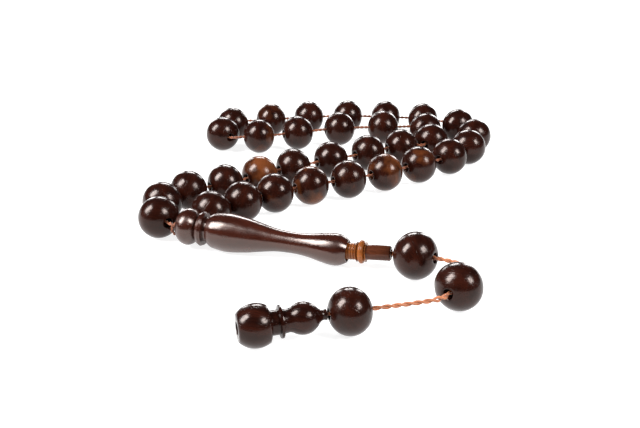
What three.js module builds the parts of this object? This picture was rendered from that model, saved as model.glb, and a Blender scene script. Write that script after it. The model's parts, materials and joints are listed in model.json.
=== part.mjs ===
// A string of 33 wooden prayer beads (misbaha), laid on a table in a long folded loop.
// Both ends of one cord enter the long imame bead, leave its stem twisted together,
// pass three loose tassel beads and end in a knot inside the finial.
// Millimetres, +Z up, with the table at z = 0 and the origin under the middle of the object.
import * as THREE from "three";

// Beads
const beadDiameter = 10;
const beadLength = 9;
const beadHole = 2.2;
const tasselBeadDiameters = [10.5, 10, 9.5];

// Cord
const strandDiameter = 0.8;
const twistDiameter = 1;
const cordGap = 0.3;
const strandGap = 0.25;

// Imame: a head, a collar and a groove, then a long waisted body with a socket for the stem
const headLength = 5.8;
const headDiameter = 8.6;
const collarLength = 1.2;
const collarDiameter = 8;
const grooveLength = 1;
const grooveDiameter = 6.8;
const bodyLength = 32.8;
const shoulderDiameter = 8.9;
const waistDiameter = 4.8;
const flareDiameter = 7.2;
const imameHole = 2.6;
const socketDepth = 1.2;

// Stem: a spigot, a disc and a thinner tail
const stemFit = 0.4;
const stemDiameter = 3.7;
const stemNeck = 2.2;
const discLength = 2;
const discDiameter = 5.3;
const tailLength = 5.6;
const tailDiameter = 3.4;
const stemHole = 1.8;

// Finial: a neck, a small ball, a ring, a disc and a large ball with a flat end
const neckLength = 1.3;
const neckDiameter = 2.6;
const smallBallLength = 6;
const smallBallDiameter = 6.3;
const ringLength = 1;
const ringDiameter = 4.6;
const finialDiscLength = 1;
const finialDiscDiameter = 6.4;
const finialGroove = 1.4;
const finialGrooveDiameter = 4.8;
const largeBallLength = 6.4;
const largeBallDiameter = 8.5;
const endFlatDiameter = 5.4;
const knotPocketDiameter = 2.6;
const knotPocketDepth = 3.2;
const knotDiameter = 2;

// Layout on the table. The routes below are drawn for beads of this diameter and length, and
// for an imame of this thickness. They spread out from the imame when the pieces are larger.
const drawnDiameter = 10;
const drawnLength = 9;
const drawnShoulder = 8.9;
const spread = Math.max(beadDiameter / drawnDiameter, beadLength / drawnLength);
const headEnd = new THREE.Vector2(-36.9, -21.5);
const imameHeading = THREE.MathUtils.degToRad(-16.8);
const stemLift = THREE.MathUtils.degToRad(4);

// Facets
const around = 16;
const cordSides = 8;

const dark = { color: 0x3c1e16, roughness: 0.22, metalness: 0 };
const light = { color: 0x96502a, roughness: 0.28, metalness: 0 };
const copper = { color: 0xc06a3c, roughness: 0.75, metalness: 0 };

const misbaha = new THREE.Group();

function addMesh(parent, name, geometry, finish) {
  const mesh = new THREE.Mesh(geometry, new THREE.MeshStandardMaterial(finish));
  mesh.name = name;
  parent.add(mesh);
  return mesh;
}

// A turned piece with its axis on +X. Each profile point is a place on the axis and a radius.
function turned(profile) {
  const outline = profile.map(([along, radius]) => new THREE.Vector2(radius, along));
  outline.push(outline[0].clone());
  const piece = new THREE.LatheGeometry(outline, around);
  return piece.rotateZ(-Math.PI / 2);
}

// Points on half an ellipse, between two places on its long axis.
function ball(middle, halfLength, radius, from, to, steps) {
  const start = Math.acos((middle - from) / halfLength);
  const end = Math.acos((middle - to) / halfLength);
  const points = [];
  for (let i = 0; i <= steps; i++) {
    const turn = start + ((end - start) * i) / steps;
    points.push([middle - halfLength * Math.cos(turn), radius * Math.sin(turn)]);
  }
  return points;
}

// A round cord through its points, one straight step from each point to the next.
class Strung extends THREE.Curve {
  constructor(points) {
    super();
    this.points = points;
  }
  getPoint(t, target = new THREE.Vector3()) {
    const steps = this.points.length - 1;
    const place = Math.min(Math.max(t, 0), 1) * steps;
    const step = Math.min(Math.floor(place), steps - 1);
    return target.lerpVectors(this.points[step], this.points[step + 1], place - step);
  }
  getPointAt(u, target) {
    return this.getPoint(u, target);
  }
  getTangentAt(u, target) {
    return this.getTangent(u, target);
  }
}

function cord(points, diameter) {
  const section = new THREE.Shape();
  const radius = diameter / 2;
  section.moveTo(radius, 0);
  for (let i = 1; i < cordSides; i++) {
    const turn = (2 * Math.PI * i) / cordSides;
    section.lineTo(radius * Math.cos(turn), radius * Math.sin(turn));
  }
  section.closePath();
  return new THREE.ExtrudeGeometry(section, {
    steps: points.length - 1,
    curveSegments: 1,
    extrudePath: new Strung(points),
  });
}

// One bead: an oblate ball with a hole on its axis.
function bead(diameter, length) {
  const radius = diameter / 2;
  const halfLength = length / 2 / Math.sqrt(1 - (beadHole / diameter) ** 2);
  return turned(ball(0, halfLength, radius, -length / 2, length / 2, 6));
}

// Imame. Its axis starts at the head and dips, so that shoulder and flare both touch the table.
const bodyStart = headLength + collarLength + grooveLength;
const bodyEnd = bodyStart + bodyLength;
const shoulderAt = bodyStart + 0.15 * bodyLength;
const waistAt = bodyStart + 0.6 * bodyLength;
const flareAt = bodyStart + 0.9 * bodyLength;
const socketDiameter = stemDiameter + 2 * stemFit;
const dip = Math.atan((shoulderDiameter - flareDiameter) / 2 / (flareAt - shoulderAt));
const headHeight = (shoulderDiameter / 2) * Math.cos(dip) + shoulderAt * Math.sin(dip);

const imame = new THREE.Group();
imame.position.set(headEnd.x, headEnd.y, headHeight);
imame.rotation.set(0, dip, imameHeading, "ZYX");
misbaha.add(imame);

const bodyCurve = new THREE.SplineCurve([
  new THREE.Vector2(bodyStart, 0.72 * (shoulderDiameter / 2)),
  new THREE.Vector2(bodyStart + 0.04 * bodyLength, 0.92 * (shoulderDiameter / 2)),
  new THREE.Vector2(shoulderAt, shoulderDiameter / 2),
  new THREE.Vector2(bodyStart + 0.34 * bodyLength, 0.4 * shoulderDiameter),
  new THREE.Vector2(waistAt, waistDiameter / 2),
  new THREE.Vector2(bodyStart + 0.79 * bodyLength, 0.43 * flareDiameter),
  new THREE.Vector2(flareAt, flareDiameter / 2),
  new THREE.Vector2(bodyStart + 0.97 * bodyLength, 0.41 * flareDiameter),
  new THREE.Vector2(bodyEnd, socketDiameter / 2 + 0.3),
]);
const headShoulder = 0.9 * headLength;
const imameProfile = [
  [0, imameHole / 2],
  ...ball(headLength / 2, headLength / 2 + 0.15, headDiameter / 2, 0, headShoulder, 7),
  [headLength, 0.75 * (headDiameter / 2)],
  [headLength, collarDiameter / 2 - 0.3],
  [headLength + collarLength / 2, collarDiameter / 2],
  [headLength + collarLength, collarDiameter / 2 - 0.3],
  [headLength + collarLength, grooveDiameter / 2 - 0.6],
  [bodyStart, grooveDiameter / 2 - 0.6],
  ...bodyCurve.getPoints(16).map((p) => [p.x, p.y]),
  [bodyEnd, socketDiameter / 2],
  [bodyEnd - socketDepth, socketDiameter / 2],
  [bodyEnd - socketDepth, imameHole / 2],
];
addMesh(imame, "imame_body", turned(imameProfile), dark);

// Stem: its spigot sits in the socket and its tail lifts a little towards the first tassel bead.
const stem = new THREE.Group();
stem.position.set(bodyEnd - socketDepth + stemFit, 0, 0);
stem.rotation.set(0, -dip - stemLift, 0);
imame.add(stem);
const discAt = socketDepth - stemFit + stemNeck;
const tailAt = discAt + discLength;
const stemEnd = tailAt + tailLength;
addMesh(
  stem,
  "imame_stem",
  turned([
    [0, stemHole / 2],
    [0, stemDiameter / 2],
    [discAt, stemDiameter / 2],
    [discAt, discDiameter / 2 - 0.4],
    [discAt + 0.3 * discLength, discDiameter / 2],
    [discAt + 0.7 * discLength, discDiameter / 2],
    [tailAt, discDiameter / 2 - 0.4],
    [tailAt, tailDiameter / 2],
    [stemEnd - 0.3, tailDiameter / 2],
    [stemEnd, tailDiameter / 2 - 0.3],
    [stemEnd, stemHole / 2],
  ]),
  light,
);
misbaha.updateMatrixWorld(true);
const onImame = (along, aside = 0) => imame.localToWorld(new THREE.Vector3(along, aside, 0));
const onStem = (along) => stem.localToWorld(new THREE.Vector3(along, 0, 0));

// Loop. The beads lie in a long S: out from the imame's head, back behind that row, and round the far
// end to the near side of the imame. Their centres are given in order, from the first bead to the last.
const side = new THREE.Vector2(-Math.sin(imameHeading), Math.cos(imameHeading));
const aside = side.multiplyScalar((shoulderDiameter - drawnShoulder) / 2);
function onTable(x, y, z) {
  const away = new THREE.Vector2(x, y).sub(headEnd).multiplyScalar(spread).add(headEnd).add(aside);
  return new THREE.Vector3(away.x, away.y, z);
}
const centreHeight = beadDiameter / 2;
const beadPlaces = [
  [-41.8, -17.2],
  [-42.5, -7.5],
  [-37.1, 0.6],
  [-28.3, 5.4],
  [-19.9, 12.1],
  [-11.2, 18.2],
  [-1, 24.4],
  [9.5, 30.4],
  [19.2, 35.9],
  [28.4, 41.2],
  [27.9, 52.3],
  [15.2, 55],
  [1.9, 53.4],
  [-10.7, 49.4],
  [-22.1, 45.9],
  [-33, 48.2],
  [-30.8, 58.4],
  [-19.3, 63],
  [-7.5, 65.6],
  [4.8, 66.7],
  [16.7, 65.9],
  [28.2, 63.3],
  [38.3, 56.7],
  [41.6, 46.1],
  [38.4, 35.6],
  [32, 27.2],
  [22.8, 20.3],
  [13.2, 14.1],
  [3.4, 8.8],
  [-6.4, 4.1],
  [-15.3, -1.3],
  [-22.9, -7.1],
  [-29.9, -13.6],
];
const centres = beadPlaces.map(([x, y]) => onTable(x, y, centreHeight));
const leadIn = onTable(-36.6, -21.2, centreHeight);
const leadOut = onTable(-33, -17, centreHeight);

// The drawn cord turns each bead until its hole points from the mouth before it to the mouth after.
const axes = centres.map((centre, i) => {
  const before = centres[i - 1] ?? leadIn;
  const after = centres[i + 1] ?? leadOut;
  return after.clone().sub(before).normalize();
});
const mouth = (i, sign) => centres[i].clone().addScaledVector(axes[i], (sign * beadLength) / 2);
for (let pass = 0; pass < 30; pass++) {
  axes.forEach((axis, i) => {
    const before = i > 0 ? mouth(i - 1, 1) : leadIn;
    const after = i < centres.length - 1 ? mouth(i + 1, -1) : leadOut;
    axis.copy(after).sub(before).normalize();
  });
}

const beadShape = bead(beadDiameter, beadLength);
const loopCordPoints = [];
centres.forEach((centre, i) => {
  const name = "bead_" + String(i + 1).padStart(2, "0");
  const mesh = addMesh(misbaha, name, beadShape, dark);
  mesh.position.copy(centre);
  mesh.rotation.z = Math.atan2(axes[i].y, axes[i].x);
  loopCordPoints.push(mouth(i, -1), mouth(i, 1));
});

// Loop cord: one strand. Its two ends lie side by side in the head of the imame.
const halfPitch = (strandDiameter + strandGap) / 2;
const endInHead = headLength;
const loopStart = [onImame(endInHead, -halfPitch), onImame(-0.4, -halfPitch)];
const lastBend = [
  onTable(-34.3, -17.6, 3.4),
  onTable(-36, -18.7, 2),
  onTable(-37.6, -20.1, 1.9),
  onTable(-38.3, -20.9, 3),
  onTable(-38.1, -21.1, 4.2),
];
const loopEnd = [onImame(-0.4, halfPitch), onImame(endInHead, halfPitch)];
addMesh(
  misbaha,
  "loop_cord",
  cord([...loopStart, ...loopCordPoints, ...lastBend, ...loopEnd], strandDiameter),
  copper,
);

// Both strands go on through the imame and the stem as one twisted cord.
const tip = onStem(stemEnd);
const imameCordPoints = [
  onImame(endInHead + cordGap),
  onImame(bodyEnd - socketDepth),
  onStem(0.5 * stemEnd),
  onStem(stemEnd - cordGap),
];
addMesh(misbaha, "imame_cord", cord(imameCordPoints, twistDiameter), copper);

// Tassel. Its pieces lie where the stem's tip leads, so they are placed from the tip.
const fromTip = (x, y, z) => new THREE.Vector3(tip.x + x * spread, tip.y + y * spread, z);
const [firstSize, secondSize, thirdSize] = tasselBeadDiameters;
const share = beadLength / beadDiameter;
const firstHeading = THREE.MathUtils.degToRad(-32);
const firstLift = THREE.MathUtils.degToRad(7);
const secondHeading = THREE.MathUtils.degToRad(-127);
const thirdHeading = THREE.MathUtils.degToRad(-165.2);

function tasselBead(name, centre, size, heading, lift) {
  const mesh = addMesh(misbaha, name, bead(size, size * share), dark);
  mesh.position.copy(centre);
  mesh.rotation.set(0, -lift, heading, "ZYX");
  mesh.updateMatrixWorld(true);
  const half = (size * share) / 2;
  const end = (sign) => mesh.localToWorld(new THREE.Vector3(sign * half, 0, 0));
  return { inlet: end(-1), outlet: end(1) };
}

const firstCentre = fromTip(4.9, -3.3, firstSize / 2);
const first = tasselBead("tassel_bead_1", firstCentre, firstSize, firstHeading, firstLift);
const secondCentre = fromTip(12.2, -17.5, secondSize / 2);
const second = tasselBead("tassel_bead_2", secondCentre, secondSize, secondHeading, 0);
const thirdCentre = fromTip(-9.8, -27.5, thirdSize / 2);
const third = tasselBead("tassel_bead_3", thirdCentre, thirdSize, thirdHeading, 0);

// The upper cord stops a gap short of the second bead, where the tassel folds.
const foldGap = new THREE.Vector3(Math.cos(secondHeading), Math.sin(secondHeading), 0);
const upperPoints = [
  tip.clone().lerp(first.inlet, cordGap / tip.distanceTo(first.inlet)),
  first.inlet,
  first.outlet,
  fromTip(11, -6.6, 5.7),
  fromTip(13.1, -6.9, 5.3),
  fromTip(15, -7.9, 5.1),
  fromTip(16, -9.7, 5),
  fromTip(16, -11.5, 5),
  second.inlet.clone().addScaledVector(foldGap, -cordGap),
];
addMesh(misbaha, "tassel_cord_upper", cord(upperPoints, twistDiameter), copper);

// Finial: a cord's gap behind the third bead. It dips until its large ball rests on the table.
const smallBallAt = neckLength;
const ringAt = smallBallAt + smallBallLength;
const finialDiscAt = ringAt + ringLength;
const grooveAt = finialDiscAt + finialDiscLength;
const largeBallAt = grooveAt + finialGroove;
const finialEnd = largeBallAt + largeBallLength;
const largeMiddle = largeBallAt + 0.45 * largeBallLength;
const finialDip = Math.asin((thirdSize - largeBallDiameter) / 2 / largeMiddle);
const finialAxis = new THREE.Vector3(Math.cos(thirdHeading), Math.sin(thirdHeading), 0);
const finial = new THREE.Group();
finial.position.copy(third.outlet).addScaledVector(finialAxis, cordGap + neckDiameter * Math.sin(finialDip));
finial.rotation.set(0, finialDip, thirdHeading, "ZYX");
misbaha.add(finial);
const flatShare = Math.sqrt(1 - (endFlatDiameter / largeBallDiameter) ** 2);
const largeHalf = (finialEnd - largeMiddle) / flatShare;
const smallHalf = 0.53 * smallBallLength;
const smallMiddle = smallBallAt + 0.52 * smallBallLength;
addMesh(
  finial,
  "finial",
  turned([
    [0, stemHole / 2],
    [0, neckDiameter / 2 - 0.1],
    [neckLength / 2, neckDiameter / 2 - 0.2],
    ...ball(smallMiddle, smallHalf, smallBallDiameter / 2, smallBallAt + 0.1, ringAt - 0.4, 7),
    [ringAt, ringDiameter / 2],
    [finialDiscAt, ringDiameter / 2],
    [finialDiscAt + 0.2, finialDiscDiameter / 2],
    [grooveAt - 0.2, finialDiscDiameter / 2],
    [grooveAt, finialGrooveDiameter / 2],
    [largeBallAt, finialGrooveDiameter / 2],
    ...ball(largeMiddle, largeHalf, largeBallDiameter / 2, largeBallAt + 0.5, finialEnd, 8),
    [finialEnd, knotPocketDiameter / 2],
    [finialEnd - knotPocketDepth, knotPocketDiameter / 2],
    [finialEnd - knotPocketDepth, stemHole / 2],
  ]),
  dark,
);
finial.updateMatrixWorld(true);
const onFinial = (along) => finial.localToWorld(new THREE.Vector3(along, 0, 0));

// The lower cord starts inside the second bead, and ends at the knot in the finial's pocket.
const knotAt = finialEnd - knotPocketDepth + knotDiameter / 2 + cordGap;
const lowerPoints = [
  second.inlet.clone().addScaledVector(foldGap, cordGap),
  second.outlet,
  fromTip(8.7, -22, 4.9),
  fromTip(6.6, -23, 4.8),
  fromTip(2, -24.3, 4.7),
  third.inlet,
  third.outlet,
  onFinial(0.5 * finialEnd),
  onFinial(knotAt - knotDiameter / 2 - cordGap),
];
addMesh(misbaha, "tassel_cord_lower", cord(lowerPoints, twistDiameter), copper);

const knotRadius = knotDiameter / 2;
const knotOutline = [[knotAt - knotRadius, 0]];
for (let i = 1; i < 8; i++) {
  const turn = (Math.PI * i) / 8;
  knotOutline.push([knotAt - knotRadius * Math.cos(turn), knotRadius * Math.sin(turn)]);
}
knotOutline.push([knotAt + knotRadius, 0]);
addMesh(finial, "end_knot", turned(knotOutline), copper);

export default misbaha;
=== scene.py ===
import json
import math
import random

import bmesh
import bpy
from mathutils import Euler, Matrix, Vector, geometry


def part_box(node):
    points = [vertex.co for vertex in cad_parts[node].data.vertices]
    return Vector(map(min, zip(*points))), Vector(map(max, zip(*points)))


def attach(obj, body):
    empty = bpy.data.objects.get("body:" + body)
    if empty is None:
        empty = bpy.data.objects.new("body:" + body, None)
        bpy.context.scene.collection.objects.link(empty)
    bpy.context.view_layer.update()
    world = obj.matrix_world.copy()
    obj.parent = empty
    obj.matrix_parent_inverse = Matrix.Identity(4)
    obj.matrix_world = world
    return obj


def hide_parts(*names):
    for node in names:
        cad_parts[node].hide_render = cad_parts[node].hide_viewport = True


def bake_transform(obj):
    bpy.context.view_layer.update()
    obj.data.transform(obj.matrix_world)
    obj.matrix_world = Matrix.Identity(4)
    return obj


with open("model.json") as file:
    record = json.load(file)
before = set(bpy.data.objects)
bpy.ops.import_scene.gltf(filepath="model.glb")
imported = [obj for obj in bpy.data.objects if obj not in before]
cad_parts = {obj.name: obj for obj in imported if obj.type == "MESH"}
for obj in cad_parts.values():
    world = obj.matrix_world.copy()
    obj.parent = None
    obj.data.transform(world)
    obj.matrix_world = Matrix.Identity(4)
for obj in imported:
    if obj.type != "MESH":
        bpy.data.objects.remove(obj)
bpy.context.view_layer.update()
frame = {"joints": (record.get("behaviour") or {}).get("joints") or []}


# ---- The view ----
# A seated person's look down on the table, from just in front of the tassel.
# It looks 22 degrees below level, through a lens a little longer than normal, with all of it sharp.
lens = bpy.data.cameras.new("camera")
lens.lens = 53.44
lens.sensor_width = 36
lens.clip_start = 0.01
camera = bpy.data.objects.new("camera", lens)
camera.location = (-0.004, -0.2236, 0.09)
camera.rotation_euler = (math.radians(67.8), 0, 0)
bpy.context.scene.collection.objects.link(camera)
bpy.context.scene.camera = camera


# ---- Loop cord ----
# One long waxed thread of two plies, copper orange, that carries all the loop beads.
# It is drawn straight through each bead, and its two ends lie side by side in the imame's head.
STRAND = 0.0008
STRAND_LAY = 0.0026
# Each ply's radius and distance from the thread's middle, as shares of the thread's diameter.
PLY_RADIUS = 0.265
PLY_OFFSET = 0.25
ROUTE_STEP = 0.0003
WELD = 1e-7
BEAD_LENGTH = 0.009
joint_of = {joint["child"]: joint for joint in frame["joints"]}


def middle_of(node):
    low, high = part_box(node)
    return (low + high) / 2


def hole_of(node):
    return Vector(joint_of[node]["axis"]).normalized()


def drawn_line(points, step):
    """A smooth line through the points, with about one step between its own points."""
    points = [Vector(point) for point in points]
    last = len(points) - 1
    headings = [
        (points[min(i + 1, last)] - points[max(i - 1, 0)]).normalized() for i in range(last + 1)
    ]
    line = []
    for i in range(last):
        start, end = points[i], points[i + 1]
        pull = (end - start).length / 3
        count = max(2, round((end - start).length / step) + 1)
        line += geometry.interpolate_bezier(
            start, start + headings[i] * pull, end - headings[i + 1] * pull, end, count
        )[:-1]
    line.append(points[last])
    return line


def twisted_thread(name, line, diameter, lay, bevel_steps, openness=None):
    """Two round plies laid round each other along the line, one full turn in each lay.
    openness, from a share of the line, says how far apart the plies lie there."""
    ply = diameter * PLY_RADIUS
    last = len(line) - 1
    side = (line[1] - line[0]).orthogonal().normalized()
    turn = 0.0
    plies = ([], [])
    for i, point in enumerate(line):
        ahead = (line[min(i + 1, last)] - line[max(i - 1, 0)]).normalized()
        side = (side - ahead * side.dot(ahead)).normalized()
        across = ahead.cross(side)
        if i:
            turn += (point - line[i - 1]).length * 2 * math.pi / lay
        apart = diameter * PLY_OFFSET * (openness(i / last) if openness else 1)
        out = (side * math.cos(turn) + across * math.sin(turn)) * apart
        plies[0].append(point + out)
        plies[1].append(point - out)
    thread = bmesh.new()
    for ply_line in plies:
        outline = bpy.data.curves.new(name + "_ply", "CURVE")
        outline.dimensions = "3D"
        outline.bevel_depth = ply
        outline.bevel_resolution = bevel_steps
        outline.use_fill_caps = True
        run = outline.splines.new("POLY")
        run.points.add(len(ply_line) - 1)
        run.points.foreach_set("co", [x for point in ply_line for x in (*point, 1)])
        holder = bpy.data.objects.new(name + "_ply", outline)
        ply_mesh = bpy.data.meshes.new_from_object(holder)
        thread.from_mesh(ply_mesh)
        bpy.data.objects.remove(holder)
        bpy.data.curves.remove(outline)
        bpy.data.meshes.remove(ply_mesh)
    bmesh.ops.remove_doubles(thread, verts=thread.verts, dist=WELD)
    bmesh.ops.recalc_face_normals(thread, faces=thread.faces)
    mesh = bpy.data.meshes.new(name)
    thread.to_mesh(mesh)
    thread.free()
    mesh.shade_smooth()
    piece = bpy.data.objects.new(name, mesh)
    bpy.context.scene.collection.objects.link(piece)
    return piece


def copper_thread(name, painted_highlight_colour, painted_shade_colour):
    """Waxed copper-orange thread with a dull shine on the plies; its fibre streaks vary in colour,
    and the ramp paints shade between the fibres and a highlight on their crests.
    """
    finish = bpy.data.materials.new(name)
    finish.use_nodes = True
    tree = finish.node_tree
    shader = tree.nodes["Principled BSDF"]
    shader.inputs["Specular IOR Level"].default_value = 0.4
    shader.inputs["Sheen Weight"].default_value = 0.35
    shader.inputs["Sheen Roughness"].default_value = 0.4
    place = tree.nodes.new("ShaderNodeTexCoord")
    fibres = tree.nodes.new("ShaderNodeMapping")
    fibres.inputs["Scale"].default_value = (9, 260, 1)
    fibres.inputs["Rotation"].default_value = (0, 0, 0.5)
    tree.links.new(place.outputs["UV"], fibres.inputs["Vector"])
    strands = tree.nodes.new("ShaderNodeTexNoise")
    strands.inputs["Scale"].default_value = 1
    strands.inputs["Detail"].default_value = 4
    tree.links.new(fibres.outputs["Vector"], strands.inputs["Vector"])
    patches = tree.nodes.new("ShaderNodeTexNoise")
    patches.inputs["Scale"].default_value = 420
    patches.inputs["Detail"].default_value = 3
    tree.links.new(place.outputs["Object"], patches.inputs["Vector"])
    both = tree.nodes.new("ShaderNodeMath")
    both.operation = "MULTIPLY_ADD"
    both.inputs[1].default_value = 0.55
    tree.links.new(strands.outputs["Fac"], both.inputs[0])
    half = tree.nodes.new("ShaderNodeMath")
    half.operation = "MULTIPLY"
    half.inputs[1].default_value = 0.45
    tree.links.new(patches.outputs["Fac"], half.inputs[0])
    tree.links.new(half.outputs["Value"], both.inputs[2])
    # Painted shade between the fibres and a painted highlight on their crests, set by the fibre
    # noise.
    painted_light_ramp = tree.nodes.new("ShaderNodeValToRGB")
    painted_light_ramp.color_ramp.elements[0].position = 0.36
    painted_light_ramp.color_ramp.elements[0].color = painted_shade_colour
    painted_light_ramp.color_ramp.elements[1].position = 0.62
    painted_light_ramp.color_ramp.elements[1].color = painted_highlight_colour
    tree.links.new(both.outputs["Value"], painted_light_ramp.inputs["Fac"])
    tree.links.new(painted_light_ramp.outputs["Color"], shader.inputs["Base Color"])
    dullness = tree.nodes.new("ShaderNodeMapRange")
    dullness.inputs["To Min"].default_value = 0.42
    dullness.inputs["To Max"].default_value = 0.7
    tree.links.new(both.outputs["Value"], dullness.inputs["Value"])
    tree.links.new(dullness.outputs["Result"], shader.inputs["Roughness"])
    relief = tree.nodes.new("ShaderNodeBump")
    relief.inputs["Strength"].default_value = 0.6
    relief.inputs["Distance"].default_value = 0.00004
    tree.links.new(both.outputs["Value"], relief.inputs["Height"])
    tree.links.new(relief.outputs["Normal"], shader.inputs["Normal"])
    return finish


# The second colour is a painted highlight on the fibre crests, and the third is painted shade
# between the fibres.
loop_finish = copper_thread("loop_thread_copper", (0.34, 0.1, 0.035, 1), (0.08, 0.018, 0.006, 1))

HEAD_END = Vector((-0.0369, -0.0215, 0))
IMAME_HEADING = math.radians(-16.8)
# The imame lies on its belly and its flared end, so it dips a little toward the stem.
BELLY_RADIUS = 0.00445
BELLY_AT = 0.01292
IMAME_DIP = math.atan(0.85 / 24.6)
HEAD_HEIGHT = BELLY_RADIUS * math.cos(IMAME_DIP) + BELLY_AT * math.sin(IMAME_DIP)
imame_place = (
    Matrix.Translation((HEAD_END.x, HEAD_END.y, HEAD_HEIGHT))
    @ Matrix.Rotation(IMAME_HEADING, 4, "Z")
    @ Matrix.Rotation(IMAME_DIP, 4, "Y")
)
# The two ends lie this far apart in the head. They run from just outside it to where the twist
# begins.
STRAND_GAP = 0.00025
ENDS_OUT = -0.0004
ENDS_IN = 0.0058
HALF_PITCH = (STRAND + STRAND_GAP) / 2
loop_beads = [f"bead_{number:02d}" for number in range(1, 34)]
loop_route = [
    imame_place @ Vector((ENDS_IN, -HALF_PITCH, 0)),
    imame_place @ Vector((ENDS_OUT, -HALF_PITCH, 0)),
]
for bead in loop_beads:
    for way in (-0.5, 0.5):
        loop_route.append(middle_of(bead) + hole_of(bead) * BEAD_LENGTH * way)
loop_route += [
    Vector((-0.0343, -0.0176, 0.0034)),
    Vector((-0.036, -0.0187, 0.002)),
    Vector((-0.0376, -0.0201, 0.0019)),
    Vector((-0.0383, -0.0209, 0.003)),
    Vector((-0.0381, -0.0211, 0.0042)),
    imame_place @ Vector((ENDS_OUT, HALF_PITCH, 0)),
    imame_place @ Vector((ENDS_IN, HALF_PITCH, 0)),
]
loop_line = drawn_line(loop_route, ROUTE_STEP)
loop_thread = twisted_thread("loop_thread", loop_line, STRAND, STRAND_LAY, 1)
loop_thread.data.materials.append(loop_finish)
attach(loop_thread, "strand")
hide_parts("loop_cord")


# ---- Twisted cord of the imame and the upper tassel ----
# Both ends of the loop cord, twisted hard together. They run through the imame and its stem,
# and on through the first loose bead, and turn down to the second.
TWIST = 0.001
TWIST_LAY = 0.0034
# A bead's length along its hole, as a share of its diameter.
LENGTH_SHARE = 0.9
tip = Vector(joint_of["tassel_upper"]["pos_m"])
fold = Vector(joint_of["tassel_lower"]["pos_m"])
STEM_LIFT = math.radians(4)
stem_place = (
    imame_place @ Matrix.Translation((0.04, 0, 0)) @ Matrix.Rotation(-IMAME_DIP - STEM_LIFT, 4, "Y")
)


def from_tip(x, y, z):
    return Vector((tip.x + x, tip.y + y, z))


def mouths_of(bead):
    low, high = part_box(bead)
    half = hole_of(bead) * (high.z - low.z) * (LENGTH_SHARE / 2)
    return middle_of(bead) - half, middle_of(bead) + half


first_in, first_out = mouths_of("tassel_bead_1")
upper_route = [
    imame_place @ Vector((0.0061, 0, 0)),
    imame_place @ Vector((0.0396, 0, 0)),
    stem_place @ Vector((0.0054, 0, 0)),
    tip,
    first_in,
    first_out,
    from_tip(0.011, -0.0066, 0.0057),
    from_tip(0.0131, -0.0069, 0.0053),
    from_tip(0.015, -0.0079, 0.0051),
    from_tip(0.016, -0.0097, 0.005),
    from_tip(0.016, -0.0115, 0.005),
    fold,
    fold + hole_of("tassel_bead_2") * 0.001,
]
upper_line = drawn_line(upper_route, ROUTE_STEP)
# The second colour is a painted highlight on the fibre crests, and the third is painted shade
# between the fibres.
twist_finish = copper_thread("twisted_cord_copper", (0.5, 0.17, 0.062, 1), (0.1, 0.02, 0.008, 1))
upper_thread = twisted_thread("twisted_cord_upper", upper_line, TWIST, TWIST_LAY, 2)
upper_thread.data.materials.append(twist_finish)
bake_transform(upper_thread)
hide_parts("imame_cord", "tassel_cord_upper")


# ---- Twisted cord of the lower tassel ----
# The same twisted pair where it leaves the second loose bead. It crosses the table to the third,
# goes through the finial and ends in the knot. The finial's sizes are here because they place it.
LOOSE_LAY = 0.0042
FINIAL_LENGTH = 0.0171
LARGE_BALL = 0.0085
LARGE_BALL_AT = 0.01358
NECK = 0.0026
NECK_GAP = 0.0003
POCKET_DEPTH = 0.0032
KNOT_SIZE = 0.002
KNOT_GAP = 0.0003
second_in, second_out = mouths_of("tassel_bead_2")
third_back = hole_of("tassel_bead_3") * -1
third_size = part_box("tassel_bead_3")[1].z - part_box("tassel_bead_3")[0].z
# The third bead's own axis points up the cord, so its mouths come in the other order.
third_out, third_in = mouths_of("tassel_bead_3")
FINIAL_DIP = math.asin((third_size - LARGE_BALL) / 2 / LARGE_BALL_AT)
finial_place = (
    Matrix.Translation(third_out + third_back * (NECK_GAP + NECK * math.sin(FINIAL_DIP)))
    @ Matrix.Rotation(math.atan2(third_back.y, third_back.x), 4, "Z")
    @ Matrix.Rotation(FINIAL_DIP, 4, "Y")
)
KNOT_AT = FINIAL_LENGTH - POCKET_DEPTH + KNOT_SIZE / 2 + KNOT_GAP
lower_route = [
    second_in + hole_of("tassel_bead_2") * 0.0003,
    second_out,
    from_tip(0.0087, -0.022, 0.0049),
    from_tip(0.0066, -0.023, 0.0048),
    from_tip(0.002, -0.0243, 0.0047),
    third_in,
    third_out,
    finial_place @ Vector((FINIAL_LENGTH / 2, 0, 0)),
    finial_place @ Vector((KNOT_AT - KNOT_SIZE / 2 + 0.0002, 0, 0)),
]
lower_line = drawn_line(lower_route, ROUTE_STEP)


SPRUNG_AT = 0.225
SPRUNG_SPREAD = 0.022


def loosened(share):
    """The plies have sprung apart just past the second bead's hole."""
    return 1 + 0.6 * math.exp(-(((share - SPRUNG_AT) / SPRUNG_SPREAD) ** 2))


lower_thread = twisted_thread("twisted_cord_lower", lower_line, TWIST, LOOSE_LAY, 2, loosened)
lower_thread.data.materials.append(twist_finish)


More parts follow.
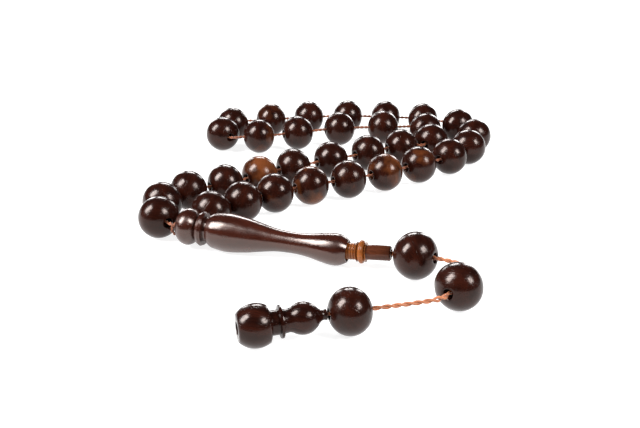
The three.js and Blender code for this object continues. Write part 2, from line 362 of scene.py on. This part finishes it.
# ---- End knot ----
# An overhand knot in the twisted cord, drawn up into a hard little ball.
# It is too big for the finial's hole, and holds every piece on the cord.
KNOT_CORD = 0.00058
KNOT_LAY = 0.0016
KNOT_STEPS = 97
KNOT_DEPTH = 0.00038
KNOT_REACH = 0.00022
knot_place = finial_place @ Matrix.Translation((KNOT_AT, 0, 0))
knot_line = []
for step in range(KNOT_STEPS):
    around = 2 * math.pi * step / KNOT_STEPS
    knot_line.append(
        knot_place
        @ Vector(
            (
                -math.sin(3 * around) * KNOT_DEPTH,
                (math.sin(around) + 2 * math.sin(2 * around)) * KNOT_REACH,
                (math.cos(around) - 2 * math.cos(2 * around)) * KNOT_REACH,
            )
        )
    )
knot_thread = twisted_thread("end_knot_thread", knot_line, KNOT_CORD, KNOT_LAY, 1)
knot_thread.data.materials.append(twist_finish)
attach(knot_thread, "tassel_lower")
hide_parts("end_knot")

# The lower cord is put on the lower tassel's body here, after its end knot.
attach(lower_thread, "tassel_lower")
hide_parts("tassel_cord_lower")


# ---- Loop beads ----
# Thirty-three beads of dark red-brown hardwood, each turned from its own scrap of timber,
# drilled along its axis, rounded at the mouths of the hole, waxed and polished.
HOLE = 0.0021
MOUTH_ROUNDING = 0.00035
BEAD_STEPS = 48
chooser = random.Random(7)


def half_ellipse(middle, half_length, radius, start, end, steps):
    first = math.acos(max(-1, min(1, (middle - start) / half_length)))
    final = math.acos(max(-1, min(1, (middle - end) / half_length)))
    points = []
    for i in range(steps + 1):
        turn = first + (final - first) * i / steps
        points.append((middle - half_length * math.cos(turn), radius * math.sin(turn)))
    return points


def turned_piece(name, outline, place, eased, steps, light_wood, grain_turn):
    """Spins the outline, pairs of a place on the axis and a radius, into a closed turned piece.
    eased gives the corners that the turner rounds, as their number in the outline and a radius.
    light_wood, from a place on the axis, says how much of the paler sapwood shows there."""
    stock = bmesh.new()
    corners = [stock.verts.new((along, 0, radius)) for along, radius in outline]
    for a, b in zip(corners, corners[1:] + corners[:1]):
        stock.edges.new((a, b))
    for number, rounding in eased:
        bmesh.ops.bevel(
            stock,
            geom=[corners[number]],
            offset=rounding,
            segments=3,
            profile=0.5,
            affect="VERTICES",
            material=-1,
        )
    bmesh.ops.spin(
        stock,
        geom=stock.verts[:] + stock.edges[:],
        cent=(0, 0, 0),
        axis=(1, 0, 0),
        angle=2 * math.pi,
        steps=steps,
        use_merge=True,
    )
    bmesh.ops.remove_doubles(stock, verts=stock.verts, dist=WELD)
    bmesh.ops.recalc_face_normals(stock, faces=stock.faces)
    # The grain runs through the block that the piece is turned from, so it is kept with the piece.
    grain = stock.verts.layers.float_vector.new("grain")
    tone = stock.verts.layers.float.new("light_wood")
    shift = Vector((chooser.uniform(0, 90), chooser.uniform(0, 90), chooser.uniform(0, 90)))
    for vert in stock.verts:
        vert[grain] = grain_turn @ (vert.co * 1000) + shift
        vert[tone] = light_wood(vert.co.x)
    # The lathe's fine marks run round the piece: u goes along its axis and v round it.
    lathe = stock.loops.layers.uv.new("lathe")
    for face in stock.faces:
        face_middle = face.calc_center_median()
        face_turn = math.atan2(face_middle.z, face_middle.y)
        for loop in face.loops:
            turn = math.atan2(loop.vert.co.z, loop.vert.co.y)
            turn += 2 * math.pi * round((face_turn - turn) / (2 * math.pi))
            loop[lathe].uv = (loop.vert.co.x * 20, turn / (2 * math.pi))
    stock.transform(place)
    mesh = bpy.data.meshes.new(name)
    stock.to_mesh(mesh)
    stock.free()
    mesh.shade_smooth()
    mesh.set_sharp_from_angle(angle=math.radians(50))
    piece = bpy.data.objects.new(name, mesh)
    bpy.context.scene.collection.objects.link(piece)
    return piece


def polished_wood(name, heart, middle, sap, gloss, pore_depth, shine=0.27, brushed=0.0):
    """Close-grained wood under wax: heartwood and sapwood colours, fibres, pores and a soft shine.
    shine is the strength of the wax, and brushed is how far the lathe's marks draw it out."""
    finish = bpy.data.materials.new(name)
    finish.use_nodes = True
    tree = finish.node_tree
    new, link = tree.nodes.new, tree.links.new
    shader = tree.nodes["Principled BSDF"]
    shader.inputs["Specular IOR Level"].default_value = shine
    shader.inputs["Specular Tint"].default_value = (1, 0.86, 0.8, 1)
    shader.inputs["Anisotropic"].default_value = brushed
    along = new("ShaderNodeTangent")
    along.direction_type = "UV_MAP"
    along.uv_map = "lathe"
    link(along.outputs["Tangent"], shader.inputs["Tangent"])
    grain = new("ShaderNodeAttribute")
    grain.attribute_name = "grain"
    light = new("ShaderNodeAttribute")
    light.attribute_name = "light_wood"

    def noise(scale, stretch, detail, roughness=0.5):
        stretched = new("ShaderNodeMapping")
        stretched.inputs["Scale"].default_value = stretch
        link(grain.outputs["Vector"], stretched.inputs["Vector"])
        pattern = new("ShaderNodeTexNoise")
        pattern.inputs["Scale"].default_value = scale
        pattern.inputs["Detail"].default_value = detail
        pattern.inputs["Roughness"].default_value = roughness
        link(stretched.outputs["Vector"], pattern.inputs["Vector"])
        return pattern.outputs["Fac"]

    def ranged(value, low, high, to_low, to_high):
        scaled = new("ShaderNodeMapRange")
        scaled.inputs["From Min"].default_value = low
        scaled.inputs["From Max"].default_value = high
        scaled.inputs["To Min"].default_value = to_low
        scaled.inputs["To Max"].default_value = to_high
        link(value, scaled.inputs["Value"])
        return scaled.outputs["Result"]

    def sum_of(a, b):
        sum_node = new("ShaderNodeMath")
        link(a, sum_node.inputs[0])
        link(b, sum_node.inputs[1])
        return sum_node.outputs["Value"]

    def mixed(amount, low, high):
        """A mix of two colours. Each is a plain colour or the output of another node."""
        mixer = new("ShaderNodeMix")
        mixer.data_type = "RGBA"
        link(amount, mixer.inputs[0])
        for socket, given in ((mixer.inputs[6], low), (mixer.inputs[7], high)):
            if isinstance(given, tuple):
                socket.default_value = given
            else:
                link(given, socket)
        return mixer.outputs[2]

    rings = noise(0.5, (0.12, 1.0, 1.0), 2)
    fibres = noise(3.2, (0.1, 1.0, 1.0), 6, 0.65)
    streaks = sum_of(ranged(rings, 0.3, 0.7, 0, 0.7), ranged(fibres, 0.3, 0.7, -0.1, 0.35))
    patch = noise(0.16, (0.5, 1.0, 1.0), 3)
    shown = sum_of(ranged(patch, 0.42, 0.62, -0.3, 0.3), light.outputs["Fac"])
    wood = mixed(ranged(shown, 0.25, 0.9, 0, 1), mixed(streaks, heart, middle), sap)
    pores = ranged(noise(2.6, (0.09, 1.3, 1.3), 2), 0.6, 0.68, 0, 1)
    wood = mixed(ranged(pores, 0, 1, 0, 0.4), wood, heart)
    link(wood, shader.inputs["Base Color"])
    smears = noise(0.45, (1, 1, 1), 3)
    link(ranged(smears, 0.3, 0.7, gloss - 0.04, gloss + 0.05), shader.inputs["Roughness"])
    relief = new("ShaderNodeBump")
    relief.inputs["Strength"].default_value = 0.5
    relief.inputs["Distance"].default_value = pore_depth
    height = sum_of(ranged(pores, 0, 1, 0, -1), ranged(fibres, 0.3, 0.7, 0, 0.35))
    link(height, relief.inputs["Height"])
    link(relief.outputs["Normal"], shader.inputs["Normal"])
    return finish


dark_wood = polished_wood(
    "dark_polished_wood",
    heart=(0.005, 0.001, 0.0006, 1),
    middle=(0.023, 0.0048, 0.0024, 1),
    sap=(0.12, 0.034, 0.01, 1),
    gloss=0.19,
    pore_depth=0.00002,
)


def bead_outline(radius, length):
    half = length / 2
    curve_half = half / math.sqrt(1 - (HOLE / 2 / radius) ** 2)
    return half_ellipse(0, curve_half, radius, -half, half, 20)


def wooden_bead(name, node, body, light_wood):
    low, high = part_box(node)
    diameter = high.z - low.z
    outline = bead_outline(diameter / 2, diameter * LENGTH_SHARE)
    block = Euler([chooser.uniform(0, 2 * math.pi) for _ in range(3)]).to_matrix()
    turn = Vector((1, 0, 0)).rotation_difference(hole_of(node)).to_matrix().to_4x4()
    place = Matrix.Translation(middle_of(node)) @ turn
    piece = turned_piece(
        name,
        outline,
        place,
        [(0, MOUTH_ROUNDING), (len(outline) - 1, MOUTH_ROUNDING)],
        BEAD_STEPS,
        lambda along: light_wood,
        block,
    )
    piece.data.materials.append(dark_wood)
    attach(piece, body)
    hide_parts(node)
    return piece


LIGHT_BEADS = {"bead_05": 0.5, "bead_27": 0.25, "bead_28": 0.42, "bead_30": 0.4}
for bead in loop_beads:
    light_wood = LIGHT_BEADS.get(bead, chooser.uniform(-0.3, 0.1))
    wooden_bead("loop_" + bead, bead, bead, light_wood)


# ---- Tassel beads ----
# Three more beads from the same lathe, a little unlike in size, loose on the twisted cord.
# They hang from the imame when the string is held, and are run through the fingers first.
for number in (1, 2, 3):
    bead = f"tassel_bead_{number}"
    wooden_bead("loose_" + bead, bead, bead, -0.2)


# ---- Imame ----
# The long bead that joins the two ends of the loop: a round head, a collar, a dark cut groove
# and a waisted body, turned in one from a redder piece of the same wood and drilled right through.
IMAME_HOLE = 0.0013
SOCKET = 0.00225
IMAME_STEPS = 96
imame_wood = polished_wood(
    "imame_polished_wood",
    heart=(0.012, 0.0022, 0.0012, 1),
    middle=(0.038, 0.008, 0.004, 1),
    sap=(0.1, 0.024, 0.009, 1),
    gloss=0.24,
    pore_depth=0.00001,
    shine=0.8,
    brushed=0.85,
)
head = half_ellipse(0.0029, 0.00305, 0.0043, 0, 0.00525, 16)
body_curve = drawn_line(
    [
        (0.008, 0, 0.0032),
        (0.0089, 0, 0.00385),
        (0.010, 0, 0.00415),
        (0.0128, 0, 0.00444),
        (0.0174, 0, 0.0039),
        (0.0209, 0, 0.00318),
        (0.0244, 0, 0.00255),
        (0.0279, 0, 0.00239),
        (0.0302, 0, 0.00247),
        (0.0326, 0, 0.00277),
        (0.0349, 0, 0.00325),
        (0.0372, 0, 0.00358),
        (0.039, 0, 0.00348),
        (0.0402, 0, 0.00293),
        (0.0408, 0, 0.00255),
    ],
    0.0006,
)
imame_outline = (
    [(0, IMAME_HOLE)]
    + head
    + [
        (0.0058, 0.0032),
        (0.0058, 0.0037),
        (0.0064, 0.004),
        (0.007, 0.0037),
        (0.007, 0.0028),
        (0.008, 0.0028),
    ]
    + [(point.x, point.z) for point in body_curve]
    + [(0.0408, SOCKET), (0.0396, SOCKET), (0.0396, IMAME_HOLE)]
)
imame = turned_piece(
    "imame_turned",
    imame_outline,
    imame_place,
    [],
    IMAME_STEPS,
    lambda along: -0.1,
    Euler((0.4, 0.05, 0.1)).to_matrix(),
)
imame.data.materials.append(imame_wood)
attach(imame, "strand")
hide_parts("imame_body")


# ---- Stem ----
# A small separate turning of lighter, orange wood, glued by its spigot in the imame's socket.
# It has fine cut rings and a rounded disc of pale wood, and a thin tail of dark wood.
STEM_HOLE = 0.0009
STEM_RADIUS = 0.00185
GROOVE_RADIUS = 0.00168
GROOVE_PITCH = 0.00062
STEM_STEPS = 64
stem_wood = polished_wood(
    "stem_polished_wood",
    heart=(0.03, 0.008, 0.004, 1),
    middle=(0.11, 0.03, 0.012, 1),
    sap=(0.23, 0.068, 0.014, 1),
    gloss=0.2,
    pore_depth=0.00001,
)
spigot = [(0, STEM_RADIUS), (0.0009, STEM_RADIUS)]
for groove in range(3):
    at = 0.0011 + groove * GROOVE_PITCH
    spigot += [
        (at, STEM_RADIUS),
        (at + 0.0001, GROOVE_RADIUS),
        (at + 0.0002, GROOVE_RADIUS),
        (at + 0.0003, STEM_RADIUS),
    ]
stem_outline = (
    [(0, STEM_HOLE)]
    + spigot
    + [(0.003, 0.0018), (0.003, 0.00225)]
    + half_ellipse(0.004, 0.00105, 0.00262, 0.0032, 0.0048, 10)
    + [
        (0.005, 0.00225),
        (0.005, 0.00175),
        (0.0053, 0.00168),
        (0.0103, 0.00168),
        (0.0106, 0.0014),
        (0.0106, STEM_HOLE),
    ]
)
stem = turned_piece(
    "imame_stem_turned",
    stem_outline,
    stem_place,
    [],
    STEM_STEPS,
    lambda along: 0.95 if along < 0.0052 else -0.4,
    Euler((0.2, 0.0, 0.05)).to_matrix(),
)
stem.data.materials.append(stem_wood)
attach(stem, "strand")
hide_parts("imame_stem")


# ---- Finial ----
# The turned drop that ends the tassel: a thin neck, a small ball, a ring and a thin disc,
# and a large ball cut flat at its end, with a pocket there for the knot.
small_ball = drawn_line(
    [
        (0, 0, 0.00112),
        (0.0006, 0, 0.00098),
        (0.0012, 0, 0.00125),
        (0.0022, 0, 0.00228),
        (0.0034, 0, 0.00297),
        (0.0047, 0, 0.00315),
        (0.0059, 0, 0.00287),
        (0.0068, 0, 0.00238),
    ],
    0.0003,
)
POCKET = 0.0013
FINIAL_STEPS = 80
finial_outline = (
    [(0, STEM_HOLE)]
    + [(point.x, point.z) for point in small_ball]
    + [
        (0.0073, 0.00225),
        (0.0078, 0.0023),
        (0.0083, 0.00235),
        (0.0086, 0.00312),
        (0.00885, 0.0032),
        (0.0091, 0.00312),
        (0.0093, 0.0024),
        (0.0107, 0.0024),
    ]
    + half_ellipse(LARGE_BALL_AT, 0.00456, LARGE_BALL / 2, 0.0112, FINIAL_LENGTH, 18)
    + [
        (FINIAL_LENGTH, POCKET),
        (FINIAL_LENGTH - POCKET_DEPTH, POCKET),
        (FINIAL_LENGTH - POCKET_DEPTH, STEM_HOLE),
    ]
)
finial = turned_piece(
    "finial_turned",
    finial_outline,
    finial_place,
    [],
    FINIAL_STEPS,
    lambda along: -0.2,
    Euler((0.1, 0.1, 0.4)).to_matrix(),
)
finial.data.materials.append(dark_wood)
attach(finial, "tassel_lower")
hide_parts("finial")


# ---- Table and light ----
# A plain white table that glows faintly, under five soft lamps: two in front, one overhead and
# behind, and two low behind. It ends half a metre behind the object.
LAMP_DISTANCE = 0.9
table = bmesh.new()
bmesh.ops.create_grid(table, x_segments=1, y_segments=1, size=1.5)
bmesh.ops.translate(table, verts=table.verts, vec=(0, -1, 0))
table_mesh = bpy.data.meshes.new("table")
table.to_mesh(table_mesh)
table.free()
table_top = bpy.data.objects.new("table", table_mesh)
bpy.context.scene.collection.objects.link(table_top)
white = bpy.data.materials.new("table_white")
white.use_nodes = True
white_shader = white.node_tree.nodes["Principled BSDF"]
white_shader.inputs["Base Color"].default_value = (0.4, 0.4, 0.4, 1)
white_shader.inputs["Roughness"].default_value = 0.9
white_shader.inputs["Specular IOR Level"].default_value = 0.1
white_shader.inputs["Emission Color"].default_value = (1, 1, 1, 1)
white_shader.inputs["Emission Strength"].default_value = 0.855
table_mesh.materials.append(white)


def soft_lamp(name, direction, distance, width, height, watts):
    panel = bpy.data.lights.new(name, "AREA")
    panel.shape = "RECTANGLE"
    panel.size = width
    panel.size_y = height
    panel.energy = watts
    lamp = bpy.data.objects.new(name, panel)
    lamp.location = Vector(direction).normalized() * distance
    lamp.rotation_euler = Vector(direction).to_track_quat("Z", "Y").to_euler()
    lamp.visible_camera = False
    bpy.context.scene.collection.objects.link(lamp)


soft_lamp("lamp_front_left", (-0.7, -0.195, 0.68), LAMP_DISTANCE, 0.34, 0.56, 20)
soft_lamp("lamp_front_right", (0.65, -0.425, 0.627), LAMP_DISTANCE, 0.3, 0.34, 10)
soft_lamp("lamp_overhead", (-0.03, 0.895, 0.445), LAMP_DISTANCE, 0.3, 0.16, 3)
soft_lamp("lamp_rear_right", (0.37, 0.91, 0.17), LAMP_DISTANCE, 0.14, 0.34, 1.6)
soft_lamp("lamp_rear_left", (-0.37, 0.91, 0.17), LAMP_DISTANCE, 0.14, 0.34, 1.2)
room = bpy.data.worlds.new("room")
room.use_nodes = True
room.node_tree.nodes["Background"].inputs["Color"].default_value = (1, 1, 1, 1)
room.node_tree.nodes["Background"].inputs["Strength"].default_value = 0.05
bpy.context.scene.world = room
bpy.context.scene.view_settings.view_transform = "Standard"
